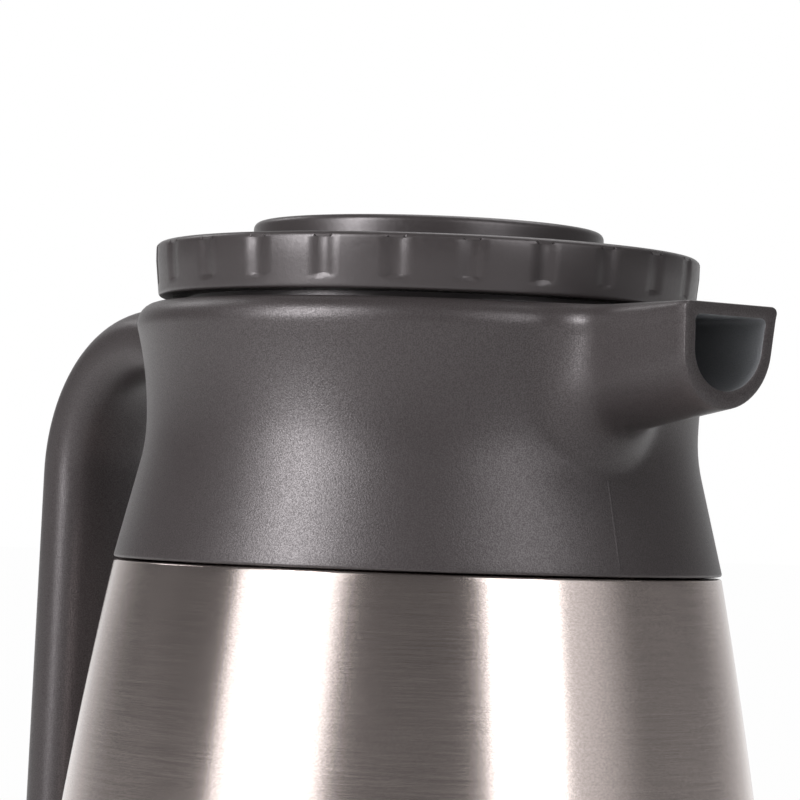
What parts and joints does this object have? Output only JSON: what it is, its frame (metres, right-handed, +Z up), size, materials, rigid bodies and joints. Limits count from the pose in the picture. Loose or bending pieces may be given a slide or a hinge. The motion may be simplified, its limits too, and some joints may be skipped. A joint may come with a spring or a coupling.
{
  "type": "thermal carafe",
  "caption": "Insulated steel serving carafe with a moulded collar and D-shaped spout, a loop handle, a turning lift-off lid and a flip cap over a brew-through funnel.",
  "frame": {"origin": "centre of the rubber foot pad's underside, on the surface that the carafe stands on", "axes": "+Z up along the body's axis, +X along the spout, handle on -X"},
  "size_m": [0.23, 0.1686, 0.2365],
  "materials": {
    "brushed_shell": "satin",
    "vessel_steel": "satin",
    "screw_steel": "polished",
    "getter_grey": "matt",
    "textured_plastic": "fine texture",
    "satin_plastic": "satin",
    "pad_rubber": "matt",
    "seal_silicone": "satin",
    "ball_plastic": "gloss"
  },
  "bodies": {
    "carafe": {"outer_shell": "brushed_shell", "inner_vessel": "vessel_steel", "shell_bottom": "vessel_steel", "getter": "getter_grey", "base_cup": "textured_plastic", "foot_pad": "pad_rubber", "neck_band": "vessel_steel", "neck_gasket": "seal_silicone", "collar": "textured_plastic", "collar_screws": "screw_steel", "handle": "textured_plastic", "handle_cover": "textured_plastic", "handle_bracket": "vessel_steel", "upper_handle_screws": "screw_steel", "lower_handle_screw": "screw_steel"},
    "slip_ring": {"lid_seal": "seal_silicone"},
    "lid": {"grip_ring": "satin_plastic", "stopper": "satin_plastic", "stopper_seal": "seal_silicone", "lid_screws": "screw_steel", "brew_funnel": "satin_plastic", "ball_cage": "satin_plastic", "hinge_pin": "screw_steel"},
    "cap": {"flip_cap": "satin_plastic", "cap_gasket": "seal_silicone"},
    "ball": {"valve_ball": "ball_plastic"}
  },
  "joints": [
    {"name": "lid_lift", "type": "slide", "parent": "carafe", "child": "slip_ring", "axis": [0, 0, 1], "range_m": [0, 0.08]},
    {"name": "lid_turn", "type": "hinge", "parent": "slip_ring", "child": "lid", "pos_m": [0, 0, 0.22], "axis": [0, 0, 1], "range_deg": [0, 90]},
    {"name": "cap_flip", "type": "hinge", "parent": "lid", "child": "cap", "pos_m": [-0.0335, 0, 0.23395], "axis": [0, -1, 0], "range_deg": [0, 110]},
    {"name": "ball_float", "type": "slide", "parent": "lid", "child": "ball", "axis": [0, 0, 1], "range_m": [0, 0.0048]}
  ]
}
